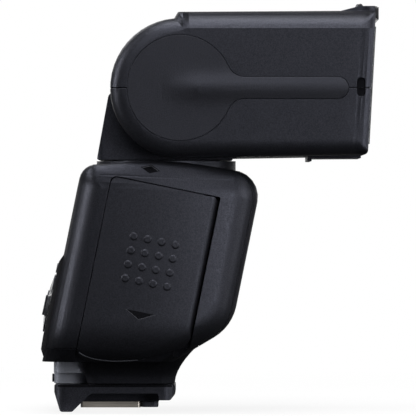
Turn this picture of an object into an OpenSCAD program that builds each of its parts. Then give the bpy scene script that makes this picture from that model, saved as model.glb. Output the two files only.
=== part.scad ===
// Shoe mount speedlight flash with a swivelling, tilting zoom head.
// The side profile is drawn in (f, z): f runs forward, where the flash points, and z runs up.
// The model stands on its shoe plate: the origin is the middle of the plate's underside,
// +Z is up and the flash points along -Y. The battery door is on the -X side.

/* [Shoe foot] */
// Width of the metal shoe plate
shoe_w = 18.6; // [18:0.1:18.8]
// Length of the metal shoe plate
shoe_len = 20.4; // [18:0.2:22]
// Thickness of the metal shoe plate
shoe_t = 2.0; // [1.8:0.05:2.1]
// Height of the slot above the plate for the rails of the shoe
rail_gap = 3.0; // [2.4:0.1:3.4]
// Width of the web between the plate and the foot
web_w = 12.4; // [11:0.2:13]
// Width of the foot block
foot_w = 34; // [32:0.5:38]
// Height of the top face of the foot block
foot_top = 8.0; // [7.6:0.1:9]
// How far the foot reaches in front of the shoe plate's middle
foot_front = 19.1; // [18:0.1:20]
// How far the foot reaches behind the shoe plate's middle
foot_back = 21.9; // [21:0.1:23]
// How far the heel hangs below the shoe plate
heel_drop = 1.2; // [0.8:0.1:1.6]
// Radius of the lock pin
lock_pin_r = 1.0; // [0.8:0.05:1.2]
// Travel of the lock lever
lock_travel = 6; // [4:0.5:7]
// Width of the lock lever
lever_w = 20; // [16:0.5:22]

/* [Body] */
// Width of the body
body_w = 69; // [66:0.5:74]
// Lean of the body
body_lean = 11.5; // [10.5:0.25:12]
// Height of the body's top face over the swivel axis
body_top = 81.4; // [80.5:0.1:82]
// Height of the seam between the body shell and the base cover
base_seam = 20.6; // [20:0.1:21.5]
// Height of the body's flat underside
body_bottom = 16.2; // [15.6:0.1:16.6]
// Depth of the body from its back to its front along the lean
body_depth = 60.2; // [59:0.2:62]
// Radius of the soft edge round the body's sides
body_crown = 8; // [6:0.5:9]
// Thickness of the front cover
front_t = 1.6; // [1.3:0.1:2]
// Thickness of the outer walls
wall = 3; // [2.4:0.1:3.4]

/* [Battery door] */
// Width of the battery door
door_w = 36.6; // [34:0.2:37.4]
// Thickness of the battery door
door_t = 2.2; // [1.9:0.1:2.4]
// Sliding travel of the battery door before it swings
door_travel = 4; // [2:0.5:5]
// Gap round the battery door
door_gap = 0.35; // [0.25:0.05:0.5]
// Radius of one battery cell
cell_r = 7.2; // [6.9:0.05:7.25]
// Length of one battery cell
cell_len = 50; // [48:0.5:50.5]

/* [Neck] */
// Distance of the swivel axis in front of the shoe plate's middle
swivel_f = 15.9; // [15:0.1:17]
// Radius of the swivel collar
collar_r = 23.7; // [22.5:0.1:24]
// Radius of the swivel stem inside the collar
stem_r = 14.9; // [13:0.1:16]
// Width of the neck between the ears of the head
neck_w = 38; // [34:0.5:40]
// Radius of the neck's round top
neck_r = 22; // [20:0.25:22.4]

/* [Head] */
// Width of the head
head_w = 75; // [72:0.5:78]
// Distance of the tilt axis in front of the shoe plate's middle
tilt_f = 20.8; // [20.2:0.1:21.4]
// Height of the tilt axis
tilt_z = 107.8; // [107.6:0.1:109]
// Radius of the head's round rear end
ear_r = 23.4; // [22.8:0.1:23.5]
// Height of the head's top over the tilt axis
head_top = 25.9; // [25:0.1:27]
// Drop of the head's underside below the tilt axis at its front
head_drop = 22.3; // [21.6:0.1:22.8]
// Reach of the head's front face in front of the tilt axis
head_reach = 64.1; // [62:0.2:68]
// Lean of the head's front face
front_lean = 3.2; // [2:0.1:4]
// Radius of the soft edges of the head's sides
head_crown = 5; // [4:0.25:6]
// Half height of the side cover's long arm
arm_h = 3.6; // [3:0.1:4.2]
// Reach of the side cover's arm in front of the tilt axis
arm_reach = 56.2; // [52:0.2:57]
// Thickness of the side cover
side_cover_t = 1.2; // [1:0.1:1.6]
// Radius of the tilt axle
axle_r = 4; // [3:0.25:5]
// Width of the wide panel
panel_w = 58; // [52:0.5:60]
// Thickness of the wide panel
panel_t = 1.1; // [0.9:0.05:1.2]
// Travel of the zoom carriage
zoom_travel = 14; // [8:0.5:15]

/* [Controls] */
// Radius of the select dial
dial_r = 10; // [9:0.1:10.4]
// Number of grip ribs on the select dial
dial_ribs = 36; // [24:2:40]
// Radius of the centre button
set_r = 4.2; // [3.6:0.1:4.8]
// Width of the panel's rim beside the display window
display_rim = 3.5; // [2:0.25:5.5]
// Height of the display window
display_h = 24; // [20:0.5:26]
// Travel of the push buttons
press = 0.6; // [0.4:0.05:0.8]

/* [Hidden] */
$fn = 48;
// Clearances: running fit, free gap between moving parts, seam between fixed shells
fit = 0.05;
gap = 0.3;
seam = 0.15;
eps = 0.01;
big = 200;

// Places of the leaned body frame: u runs forward and v up along the lean
lean_f = 3;
lean_z = 16;
back_u = -28;
front_u = back_u + body_depth;
chin_v = 18.6;
chin_slope = 30.6;
top_fall = 2.5;
// How far the side's soft edge tucks in under the body
tuck = 4;
body_steps = 6;

function unit(v) = v / norm(v);
function turn(a) = [cos(a), sin(a)];

// Points of the round at corner q between its neighbours p and s
function fillet(p, q, s, r, n) =
    let (d1 = unit(p - q), d2 = unit(s - q), half = acos(d1 * d2) / 2)
    let (c = q + unit(d1 + d2) * r / sin(half), a = q + d1 * r / tan(half) - c, b = q + d2 * r / tan(half) - c)
    let (a0 = atan2(a.y, a.x), d = atan2(b.y, b.x) - a0, sweep = d > 180 ? d - 360 : d < -180 ? d + 360 : d)
    [for (i = [0 : n]) c + r * turn(a0 + sweep * i / n)];

// Outline through corners [x, y, radius], each one rounded
function rounded(cs, n = 6) =
    let (m = len(cs), xy = [for (c = cs) [c[0], c[1]]])
    [for (i = [0 : m - 1]) each fillet(xy[(i + m - 1) % m], xy[i], xy[(i + 1) % m], cs[i][2], n)];

// Convex corners moved in by d, running anticlockwise
function moved_in(cs, d) =
    let (m = len(cs), xy = [for (c = cs) [c[0], c[1]]])
    [for (i = [0 : m - 1])
        let (e1 = unit(xy[i] - xy[(i + m - 1) % m]), e2 = unit(xy[(i + 1) % m] - xy[i]))
        let (n1 = [-e1.y, e1.x], n2 = [-e2.y, e2.x], q = xy[i] + d * (n1 + n2) / (1 + n1 * n2))
        [q.x, q.y, max(cs[i][2] - d, 0.4)]];

// Stations [x, inset] of a quarter round edge of radius r on both sides of a width w
function crown(w, r, n) =
    let (one = [for (i = [0 : n]) [-w / 2 + r * (1 - cos(90 * i / n)), r * (1 - sin(90 * i / n))]])
    concat(one, [for (i = [n : -1 : 0]) [-one[i][0], one[i][1]]]);

// Solid skinned over rings of equally many points
module skin(rings) {
    n = len(rings[0]);
    last = (len(rings) - 1) * n;
    polyhedron([for (r = rings) each r],
        concat([[for (i = [n - 1 : -1 : 0]) i]],
            [for (k = [0 : n : last - n], i = [0 : n - 1]) let (j = (i + 1) % n) each
                [[k + i, k + j, k + n + j], [k + i, k + n + j, k + n + i]]],
            [[for (i = [0 : n - 1]) last + i]]), convexity = 6);
}

// Prism of a profile drawn in (f, z), as wide as w across X
module side(w) {
    rotate([90, 0, -90]) linear_extrude(w, center = true) children();
}

// Prism of a profile drawn in (f, z) from x0 to x1 across X
module side_between(x0, x1) {
    translate([(x0 + x1) / 2, 0, 0]) side(x1 - x0) children();
}

// Places: the leaned body frame, the swivel axis and the tilt axis
module leaned() {
    translate([0, -lean_f, lean_z]) rotate([body_lean, 0, 0]) children();
}

module at_swivel() {
    translate([0, -swivel_f, 0]) children();
}

module at_tilt() {
    translate([0, -tilt_f, tilt_z]) children();
}

// Box with its low and high corners in (x, f, z)
module block(lo, hi) {
    translate([lo.x, -hi.y, lo.z]) cube([hi.x - lo.x, hi.y - lo.y, hi.z - lo.z]);
}

// Rounded plate in plan, x by f, between two heights
module plan_plate(x, f0, f1, r, z0, z1) {
    translate([0, 0, z0]) linear_extrude(z1 - z0) rounded_rect(-x, x, -f1, -f0, r);
}

// Rectangle with true round corners
module rounded_rect(x0, x1, y0, y1, r) {
    translate([x0 + r, y0]) square([x1 - x0 - 2 * r, y1 - y0]);
    translate([x0, y0 + r]) square([x1 - x0, y1 - y0 - 2 * r]);
    for (x = [x0 + r, x1 - r], y = [y0 + r, y1 - r]) translate([x, y]) circle(r);
}

// Point of the leaned frame in (f, z)
function fz(u, v) = [lean_f + u * cos(body_lean) + v * sin(body_lean),
    lean_z - u * sin(body_lean) + v * cos(body_lean)];

// Height along the lean where the line u meets the body's top face
function top_v(u) =
    (body_top - tan(top_fall) * (lean_f + u * cos(body_lean) - swivel_f) - lean_z + u * sin(body_lean))
    / (cos(body_lean) + tan(top_fall) * sin(body_lean));

// Corners of the body's side profile, anticlockwise from the underside
low_z = body_bottom - tuck;
chin = fz(front_u, chin_v);
low_front = [chin.x - (chin.y - low_z) / tan(chin_slope), low_z];
low_back = fz(back_u, (low_z - lean_z + back_u * sin(body_lean)) / cos(body_lean));
body_corners = [
    [low_back.x, low_back.y, 3],
    [low_front.x, low_front.y, 3],
    [chin.x, chin.y, 16],
    [fz(front_u, top_v(front_u)).x, fz(front_u, top_v(front_u)).y, 9],
    [fz(back_u, top_v(back_u)).x, fz(back_u, top_v(back_u)).y, 6]];

// Whole outer form of the body, before it is parted into shell, covers and door
module body_form() {
    intersection() {
        skin([for (c = crown(body_w, body_crown, body_steps))
            [for (p = rounded(moved_in(body_corners, c[1]))) [c[0], -p.x, p.y]]]);
        translate([-big / 2, -big / 2, body_bottom]) cube(big);
    }
}

// Foot, lock and base
shoe_back = 13.1;
shoe_front = shoe_len - shoe_back;
nose_front = 13.2;
rail_z = shoe_t + rail_gap;
foot_lip = 2.7;
foot_round = 4;
seal_t = 0.45;
pillar_z = foot_top + seal_t;
pin_f = 3.5;
pin_travel = 1.6;
pin_head_r = 1.9;
pin_head_h = 1.2;
pin_room = 0.3;
lever_back = foot_back + 0.2;
lever_front = 10.3;
lever_z = foot_top + 0.2;
lever_top = 11.7;
rib_w = 12;
rib_t = 2;
rib_h = 1.2;
rib_f = -17;
housing_z = lever_top + 0.2;
housing_w = 30;
release_r = 1.4;
release_travel = 0.8;
release_x = -5;
release_z = (lever_z + lever_top) / 2;
contact_r = 0.8;
contact_pitch = 3.2;
contact_f = -4;

// Side profile of the foot, anticlockwise from the heel
foot_profile = rounded([
    [2.1 - foot_back, -heel_drop, 1],
    [6.15 - foot_back, -heel_drop, 1],
    [12.4 - foot_back, rail_z, 2.6],
    [nose_front, rail_z, 0.15],
    [nose_front + 0.4, foot_lip, 0.3],
    [foot_front - 1.7, foot_lip, 1],
    [foot_front, foot_lip + 2.1, 1.4],
    [foot_front, foot_top, 0.6],
    [-foot_back, foot_top, 0.6],
    [-foot_back, foot_lip + 2.8, 1.4]]);

// Places of the contacts on the shoe plate: one in the middle and a row behind it
contact_places = concat([[0, contact_f]],
    [for (i = [-2 : 2]) if (i != 0) [i * contact_pitch, contact_f - contact_pitch]]);

module shoe_plate() {
    color("silver") difference() {
        plan_plate(shoe_w / 2, -shoe_back, shoe_front, 1, 0, shoe_t);
        translate([0, -pin_f, -1]) cylinder(r = lock_pin_r + fit, h = shoe_t + 2);
        for (p = contact_places) translate([p.x, -p.y, -1]) cylinder(r = contact_r + fit, h = shoe_t + 2);
    }
}

module shoe_contacts() {
    color("gold") for (p = contact_places) translate([p.x, -p.y, eps])
        cylinder(r = contact_r, h = shoe_t - 2 * eps);
}

module foot_block() {
    color("#232428") difference() {
        union() {
            intersection() {
                side(foot_w) polygon(foot_profile);
                plan_plate(foot_w / 2, -foot_back, foot_front, foot_round, -heel_drop - 1, foot_top + 1);
            }
            block([-web_w / 2, 0.4 - shoe_back, shoe_t], [web_w / 2, nose_front + 0.3, rail_z + 0.5]);
            plan_plate(shoe_w / 2, shoe_front + 0.1, nose_front, 1.5, 0.1, shoe_t);
            block([-web_w / 2, shoe_front + 0.1, shoe_t - 0.5], [web_w / 2, nose_front - 1, shoe_t + 0.5]);
        }
        plan_plate(shoe_w / 2 + fit, -shoe_back - fit, shoe_front + fit, 1, -1, shoe_t);
        translate([0, -pin_f, 0]) cylinder(r = lock_pin_r + fit, h = foot_top + 1);
    }
}

module foot_seal() {
    color("#141416") difference() {
        plan_plate(foot_w / 2 - 1.5, -10, foot_front - 1, 4, foot_top, pillar_z);
        translate([0, -pin_f, foot_top - 1]) cylinder(r = pin_head_r + pin_room, h = 3);
    }
}

module lock_pin() {
    color("silver") translate([0, -pin_f, 0]) {
        translate([0, 0, pin_room]) cylinder(r = lock_pin_r, h = foot_top + pin_travel + 0.2);
        translate([0, 0, foot_top + pin_travel + pin_room]) cylinder(r = pin_head_r, h = pin_head_h);
    }
}

module lock_lever() {
    color("#4a4d55") difference() {
        union() {
            plan_plate(lever_w / 2, -lever_back, -lever_front, 3, lever_z, lever_top);
            block([-rib_w / 2, rib_f - rib_t / 2, lever_top - 1],
                [rib_w / 2, rib_f + rib_t / 2, lever_top + rib_h]);
        }
        translate([release_x, lever_back + 1, release_z]) rotate([90, 0, 0])
            cylinder(r = release_r + fit, h = 7.5);
    }
}

module lock_release() {
    color("#1c1d20") translate([release_x, lever_back + release_travel - 0.1, release_z]) rotate([90, 0, 0]) {
        cylinder(r = release_r, h = 5.5);
    }
}

module lock_housing() {
    color("#4a4d55") difference() {
        plan_plate(housing_w / 2, -lever_back, -lever_front, 4, housing_z, body_bottom);
        block([-rib_w / 2 - gap, rib_f - rib_t / 2 - 0.2, housing_z - 1],
            [rib_w / 2 + lock_travel + gap, rib_f + rib_t / 2 + 0.2, lever_top + rib_h + 0.2]);
    }
}

// Flare of the pillar from its foot to the body
function flare(z) = 0.0966 * pow(max(z - pillar_z, 0), 1.717);
pillar_half = 18.6;
pillar_steps = 6;

// Ring of the pillar at height z
function pillar_ring(z) = let (w = pillar_half + 1.2 * flare(z), y0 = flare(z) + 18.9, y1 = 11 + 0.9 * flare(z))
    [for (p = rounded([[-w, -y0, 5], [w, -y0, 5], [w, y1, 5], [-w, y1, 5]], 5)) [p.x, p.y, z]];

module pillar_form() {
    skin([for (i = [pillar_steps : -1 : 0]) pillar_ring(pillar_z + (base_seam - pillar_z) * i / pillar_steps)]);
}

// Battery door, bay and cells, in the leaned frame
door_u = -17.2;
door_top = 60;
door_corner_v = 9.5;
door_x = -body_w / 2;
hinge_u = door_u + door_w - door_t;
hinge_x = door_x + door_t;
rod_r = 0.7;
knuckle_r = 1.3;
knuckle_len = 4;
knuckle_at = [26, 48];
barrel_low = 17;
bay_u = [-16.6, 13.4];
bay_v = [4.6, 59];
cell_room = 0.3;
bay_x = [hinge_x, hinge_x + 4 * cell_r + 0.8 + cell_room];
sill_t = 0.6;
sill_v = 7;
cell_low = 7.4;
cell_x = [for (i = [0, 1]) bay_x[1] - cell_room - cell_r * (2 * i + 1)];
cell_u = [for (i = [-1, 1]) (bay_u[0] + bay_u[1]) / 2 + i * (cell_r + 0.15)];
dot_pitch = 4.75;
dot_r = 1.25;

// Corners of the door's outline, its foot lowered by drop, its sides moved out and its hinge side rounded
function door_corners(grow, drop, low_r, top_r) = let (u0 = door_u - grow, u1 = door_u + door_w + grow)
    [[u0, -2.2 - drop - grow, 4], [-2, -1.5 - drop - grow, 30], [u1, door_corner_v - drop - grow, low_r],
        [u1, door_top + grow, top_r], [u0, door_top + grow, 2.2]];

// Prism of the door's outline between two depths from the body's side
module door_prism(grow, drop, low_r, top_r, x0, x1) {
    leaned() side_between(x0, x1) polygon(rounded(door_corners(grow, drop, low_r, top_r), 8));
}

// Rod-wise cylinder along the hinge axis from v0 to v1
module hinge_rod_form(r, v0, v1) {
    leaned() translate([hinge_x, -hinge_u, v0]) cylinder(r = r, h = v1 - v0);
}

// Room that the door takes in the body when it slides down and swings
module door_room() {
    door_prism(door_gap, door_travel, 0.6, 0.6, door_x - 5, hinge_x + 0.1);
    hinge_rod_form(door_t + door_gap, door_corner_v - door_travel - 1, door_top + door_gap);
}

// Battery bay, with a sill below the cells on the side of the door
module bay_room() {
    leaned() {
        block([bay_x[0] + sill_t, bay_u[0], bay_v[0]], [bay_x[1], bay_u[1], bay_v[1]]);
        block([bay_x[0] - 1, bay_u[0], sill_v], [bay_x[1], bay_u[1], bay_v[1]]);
    }
}

module battery_door() {
    color("#26272b") difference() {
        union() {
            intersection() {
                body_form();
                door_prism(0, 0, 6, 2.2, door_x - 5, hinge_x);
            }
            hinge_rod_form(door_t, barrel_low, door_top - 2.2);
            door_dots();
        }
        difference() {
            leaned() block([door_x - 5, hinge_u, -20], [hinge_x, hinge_u + door_t + 1, door_top + 5]);
            hinge_rod_form(door_t, -20, door_top + 5);
        }
        hinge_rod_form(rod_r + fit, barrel_low - 1, door_top);
        for (v = knuckle_at) hinge_rod_form(knuckle_r + gap, v - gap, v + knuckle_len + door_travel + gap);
        for (v = knuckle_at) leaned() block([hinge_x, hinge_u - door_t - 1, v - gap],
            [hinge_x + door_t + 1, hinge_u + door_t + 1, v + knuckle_len + door_travel + gap]);
    }
}

// Grip dots in four rows of four
module door_dots() {
    leaned() for (i = [0 : 3], j = [0 : 3])
        translate([door_x, 6.15 - i * dot_pitch, 27.55 + j * dot_pitch]) rotate([0, 90, 0])
            translate([0, 0, -0.35]) cylinder(r1 = dot_r - 0.3, r2 = dot_r, h = 0.6);
}

module door_hinge_rod() {
    color("silver") hinge_rod_form(rod_r, barrel_low, door_top - 2.4);
}

// Eyes on the body that carry the hinge rod
module door_knuckles() {
    for (v = knuckle_at) difference() {
        union() {
            hinge_rod_form(knuckle_r, v, v + knuckle_len);
            leaned() block([hinge_x + gap, bay_u[1] + 0.2, v], [hinge_x + knuckle_r, hinge_u, v + knuckle_len]);
        }
        hinge_rod_form(rod_r + fit, v - 1, v + knuckle_len + 1);
    }
}

module battery_cells() {
    color("#6d7f8f") leaned() for (x = cell_x, u = cell_u) translate([x, -u, cell_low]) {
        cylinder(r = cell_r, h = cell_len - 1);
        translate([0, 0, cell_len - 1]) cylinder(r = 2.7, h = 1);
    }
}

// Leaf contacts over the cells, one plate for each pair
module battery_plates() {
    color("silver") leaned() for (u = cell_u)
        block([cell_x[1] - 5, u - 4.5, cell_low + cell_len + 0.05], [cell_x[0] + 5, u + 4.5, bay_v[1]]);
}

// Sprung contacts under the cells
module battery_springs() {
    color("silver") leaned() for (x = cell_x, u = cell_u) translate([x, -u, bay_v[0]]) {
        cylinder(r = 4.5, h = 0.6);
        translate([0, 0, 0.6]) cylinder(r1 = 4, r2 = 2.2, h = cell_low - bay_v[0] - 0.65);
    }
}

// Body shell, covers and what the body holds
front_shift = 0.5;
chin_seam_f = 27;
collar_z = body_top - 2.4;
collar_top = collar_z + 4.6;
pod_v = 28.5;
pod_foot_v = 3;
pod_brow = 1.1;
pod_rise = 1.4;
pod_angle = atan((pod_rise - pod_brow) / (pod_v - pod_foot_v));
dial_v = 13.5;
dial_u = back_u - pod_brow - (pod_v - dial_v) * tan(pod_angle);
panel_u = back_u + 2.4;
panel_w2 = body_w / 2 - body_crown + 1;
panel_v = [-4.8, 57];
panel_ledge = 2;
board_u = -23.2;
board_t = 1.5;
board_back = -17.8;
display_v = 43.8;
display_w = 2 * (panel_w2 - display_rim);
room_x = body_w / 2 - wall;
room_wall = bay_x[1] + 4.8;
front_room_u = 20.5;
cap_v = 26;
cap_len = 31;
cap_u = 1;
cap_x = (room_wall + room_x) / 2;
cap_r = (room_x - room_wall) / 2 - 1;
window_x = 15;
window_v = [40, 62];

// Region behind the seam of the front cover, in (f, z)
module behind_front_seam() {
    translate([-front_t, -front_shift]) polygon(rounded(body_corners));
    translate([-big / 2, -big / 2]) square([big / 2 + chin_seam_f, big]);
    translate([-big / 2, collar_z - 7]) square([big / 2 + swivel_f + collar_r + 1.4, big]);
    translate([-big / 2, -big]) square([big, big + base_seam]);
}

// Outline of the control panel in (u, v), bulging into the dial's pod at its foot
module panel_profile() {
    polygon([[panel_u, panel_v[0]], [panel_u, panel_v[1]], [back_u, panel_v[1]],
        [back_u, pod_v + 2.6], [back_u - pod_brow, pod_v], [back_u - pod_rise, pod_foot_v],
        [back_u - 1.2, -1.5], [back_u + 0.6, panel_v[0]]]);
}

// Prism of a rectangle in (x, v) with round corners, running along u
module back_prism(x, v0, v1, r, u0, u1) {
    leaned() translate([0, -u0, 0]) rotate([90, 0, 0]) linear_extrude(u1 - u0) rounded_rect(-x, x, v0, v1, r);
}

// Hollows behind the control panel, for the cells, for the capacitor and behind the front cover
module body_rooms() {
    back_prism(panel_w2 + seam, panel_v[0] - seam, panel_v[1] + seam, 3, back_u - 5, panel_u);
    back_prism(panel_w2 - panel_ledge, panel_v[0] + 7, panel_v[1] - panel_ledge, 3, panel_u - 1, board_back);
    bay_room();
    leaned() block([room_wall, cap_u - cap_r - 1.5, cap_v], [room_x, front_u + 5, 58]);
    leaned() block([-room_x + 5.5, front_room_u, 14], [room_x, front_u + 5, 58]);
}

module body_shell() {
    color("#2b2c31") {
        difference() {
            intersection() {
                body_form();
                side(big) behind_front_seam();
                translate([-big / 2, -big / 2, base_seam + seam]) cube(big);
            }
            body_rooms();
            door_room();
            at_swivel() translate([0, 0, collar_z]) cylinder(r = collar_r + seam, h = 20);
            terminal_room(seam);
        }
        door_knuckles();
    }
}

module front_cover() {
    color("#1d1e21") difference() {
        body_form();
        side(big) offset(delta = seam) behind_front_seam();
        window_region(seam);
    }
}

// Region of the lamp window on the front cover
module window_region(grow) {
    back_prism(window_x + grow, window_v[0] - grow, window_v[1] + grow, 3, front_u - 6, front_u + 5);
}

module af_window() {
    color("#4a1214") intersection() {
        difference() {
            body_form();
            side(big) offset(delta = seam) behind_front_seam();
        }
        window_region(0);
    }
}

module base_cover() {
    color("#1f2024") difference() {
        union() {
            intersection() {
                body_form();
                translate([-big / 2, -big / 2, base_seam - big]) cube(big);
            }
            pillar_form();
        }
        body_rooms();
        door_room();
        translate([0, -pin_f, pillar_z - 1])
            cylinder(r = pin_head_r + pin_room, h = 1 + pin_travel + pin_head_h + pin_room);
        block([-housing_w / 2 - seam, -foot_back - 5, pillar_z - 1],
            [lever_w / 2 + lock_travel + gap, gap - lever_front, body_bottom]);
    }
}

module swivel_collar() {
    color("#2a2b30") at_swivel() difference() {
        translate([0, 0, collar_z]) cylinder(r = collar_r, h = collar_top - collar_z);
        translate([0, 0, collar_z - 1]) cylinder(r = stem_r + fit, h = 20);
        translate([0, 0, collar_z - 1]) cylinder(r = flange_r + gap, h = 1 + flange_t + 2 * gap);
    }
}

module main_capacitor() {
    color("#3b3f46") leaned() translate([cap_x, -cap_u, cap_v]) difference() {
        cylinder(r = cap_r, h = cap_len);
        translate([0, 0, cap_len - 3.5]) rotate_extrude() translate([cap_r + 0.5, 0]) circle(1);
    }
}

module driver_board() {
    color("#1e5a38") leaned() block([7.5 - room_x, front_room_u, 18],
        [room_x - 4.5, front_room_u + board_t, 56]);
}

module af_lamp() {
    color("#dfe3e8") leaned() translate([0, -front_room_u - board_t, 51]) rotate([90, 0, 0]) {
        cylinder(r = 4.5, h = 3);
        translate([0, 0, 3]) cylinder(r1 = 4, r2 = 2.5, h = 3);
    }
}

// Soft cover over the sync and remote sockets on the side away from the battery door
term_u = [-12, 14];
term_v = [12, 24];

module terminal_room(grow) {
    leaned() side_between(body_w / 2 - 2 - grow, body_w / 2 + 5)
        rounded_rect(term_u[0] - grow, term_u[1] + grow, term_v[0] - grow, term_v[1] + grow, 2.5);
    leaned() for (u = [term_u[0] + 7, term_u[1] - 7])
        translate([body_w / 2 - 8, -u, (term_v[0] + term_v[1]) / 2]) rotate([0, 90, 0])
            cylinder(r = 3.5, h = 8);
}

module terminal_cover() {
    color("#17181a") leaned() {
        side_between(body_w / 2 - 2, body_w / 2 + 0.2)
            rounded_rect(term_u[0], term_u[1], term_v[0], term_v[1], 2.5);
        for (u = [term_u[0] + 7, term_u[1] - 7]) translate([body_w / 2 - 4, -u, (term_v[0] + term_v[1]) / 2])
            rotate([0, 90, 0]) cylinder(r = 3, h = 3);
    }
}

module sync_sockets() {
    color("silver") leaned() for (u = [term_u[0] + 7, term_u[1] - 7])
        translate([body_w / 2 - 8, -u, (term_v[0] + term_v[1]) / 2]) rotate([0, 90, 0]) difference() {
            cylinder(r = 3.4, h = 3.6);
            translate([0, 0, 0.8]) cylinder(r = 1.8, h = 5);
        }
}

// Control panel and its controls. On the pod x runs across, s up the slope and h out of it
key_pitch = (panel_w2 - 9.5) / 1.5;
key_w = key_pitch - 2.6;
key_h = 3.2;
key_x = [for (i = [-1.5 : 1.5]) i * key_pitch];
key_s = 12.6;
side_key_w = 9;
side_key_h = 4.6;
side_key_x = panel_w2 - 9;
side_key_s = 7.4;
low_s = -5.5;
test_r = 3.6;
switch_r = 4.2;
switch_s = -0.5;
switch_h = 2.1;
switch_pin_r = 2;
dial_h = 1.15;
dial_dome = 1.75;
dial_floor = -1.2;
hub_r = set_r + gap + 0.45;
flange_h = 0.6;
key_out = press - 0.1;
boss_places = [for (s = [-1, 1]) each [[s * (panel_w2 - 6.5), 31], [s * (side_key_x - 9), 5]]];

// Depth of the panel's inner face below the pod's slope at a place s up the slope
function panel_depth(s) = (panel_u - dial_u - s * sin(pod_angle)) / cos(pod_angle);

module on_pod(x, s) {
    leaned() translate([0, -dial_u, dial_v]) rotate([pod_angle - 90, 0, 0]) translate([x, -s, 0]) children();
}

// Push key through the panel, with a flange behind it
module key(w, h, s, out) {
    d = panel_depth(s - h / 2 - 0.6) + 0.1;
    translate([0, 0, -d]) linear_extrude(d + out) rounded_rect(-w / 2, w / 2, -h / 2, h / 2, 1.2);
    translate([0, 0, -d - flange_h]) linear_extrude(flange_h)
        rounded_rect(-w / 2 - 0.6, w / 2 + 0.6, -h / 2 - 0.6, h / 2 + 0.6, 1.2);
}

module key_hole(w, h) {
    translate([0, 0, -8]) linear_extrude(12)
        rounded_rect(-w / 2 - gap, w / 2 + gap, -h / 2 - gap, h / 2 + gap, 1.2);
}

module round_key(r, s, out) {
    d = panel_depth(s - r - 0.8) + 0.1;
    translate([0, 0, -d]) cylinder(r = r, h = d + out);
    translate([0, 0, -d - flange_h]) cylinder(r = r + 0.8, h = flange_h);
}

module control_panel() {
    color("#1a1b1e") difference() {
        union() {
            intersection() {
                leaned() side(big) panel_profile();
                back_prism(panel_w2, panel_v[0], panel_v[1], 3, back_u - 5, panel_u + 1);
            }
            leaned() for (p = boss_places) translate([p.x, 0.5 - panel_u, p.y]) rotate([90, 0, 0])
                cylinder(r = 2, h = board_u - panel_u + 0.5);
            on_pod(0, 0) translate([0, 0, dial_floor - 0.5]) cylinder(r = hub_r, h = 0.9 - dial_floor);
        }
        back_prism(display_w / 2 + seam, display_v - display_h / 2 - seam, display_v + display_h / 2 + seam,
            1.5, back_u - 5, back_u + 1);
        back_prism(display_w / 2 - 2, display_v - display_h / 2 + 2, display_v + display_h / 2 - 2,
            1, back_u - 5, panel_u + 1);
        on_pod(0, 0) difference() {
            translate([0, 0, dial_floor - 0.2]) cylinder(r = dial_r + gap, h = 10);
            translate([0, 0, -5]) cylinder(r = hub_r, h = 5.4);
        }
        on_pod(0, 0) translate([0, 0, -8]) cylinder(r = set_r + gap, h = 20);
        for (x = key_x) on_pod(x, key_s) key_hole(key_w, key_h);
        for (x = [-side_key_x, side_key_x]) on_pod(x, side_key_s) key_hole(side_key_w, side_key_h);
        on_pod(side_key_x, low_s) translate([0, 0, -8]) cylinder(r = test_r + gap, h = 12);
        on_pod(-side_key_x, switch_s) translate([0, 0, -8]) cylinder(r = switch_pin_r + fit, h = 12);
    }
}

module display_window() {
    color("#0c0d10") back_prism(display_w / 2, display_v - display_h / 2, display_v + display_h / 2,
        1.5, back_u, back_u + 1);
}

module display_module() {
    color("#5b6b62") {
        back_prism(display_w / 2 - 2 - seam, display_v - display_h / 2 + 2 + seam,
            display_v + display_h / 2 - 2 - seam, 1, back_u + 1, panel_u + 0.3);
        back_prism(display_w / 2 - 1, display_v - display_h / 2 + 3, display_v + display_h / 2 - 3,
            1, panel_u, board_u);
    }
}

module control_board() {
    color("#1e5a38") back_prism(panel_w2 - panel_ledge - 1, panel_v[0] + 8, panel_v[1] - panel_ledge - 1,
        2, board_u, board_u + board_t);
}

module select_dial() {
    color("#202125") on_pod(0, 0) difference() {
        rotate_extrude() polygon([[hub_r + fit, dial_floor], [dial_r, dial_floor], [dial_r, dial_h],
            [hub_r + 0.9, dial_dome], [hub_r + fit, dial_dome]]);
        for (i = [0 : dial_ribs - 1]) rotate(i * 360 / dial_ribs)
            translate([dial_r, 0, dial_h]) rotate([0, atan((dial_dome - dial_h) / (dial_r - hub_r - 0.9)), 0])
                translate([-dial_r / 2 + 1.5, 0, 0.1]) rotate([45, 0, 0])
                    cube([dial_r / 2, 0.7, 0.7], center = true);
    }
}

module set_button() {
    color("#34363c") on_pod(0, 0) difference() {
        round_key(set_r, 0, 2.2);
        translate([0, 0, 10.2]) sphere(r = 8.6);
    }
}

module soft_key(i) {
    color("#2a2b30") on_pod(key_x[i], key_s) key(key_w, key_h, key_s, key_out);
}

module soft_key_1() { soft_key(0); }
module soft_key_2() { soft_key(1); }
module soft_key_3() { soft_key(2); }
module soft_key_4() { soft_key(3); }

module menu_key() {
    color("#2a2b30") on_pod(-side_key_x, side_key_s) key(side_key_w, side_key_h, side_key_s, key_out);
}

module mode_key() {
    color("#2a2b30") on_pod(side_key_x, side_key_s) key(side_key_w, side_key_h, side_key_s, key_out);
}

module test_button() {
    color("#7a2a22") on_pod(side_key_x, low_s) round_key(test_r, low_s, key_out);
}

module power_switch() {
    color("#2a2b30") on_pod(-side_key_x, switch_s) {
        translate([0, 0, -panel_depth(switch_s) - 0.6])
            cylinder(r = switch_pin_r, h = panel_depth(switch_s) + 1);
        translate([0, 0, gap]) cylinder(r1 = switch_r, r2 = switch_r - 0.6, h = 1);
        translate([-1, -switch_r + 0.8, gap]) cube([2, 2 * switch_r - 1.6, switch_h - gap]);
    }
}

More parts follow.
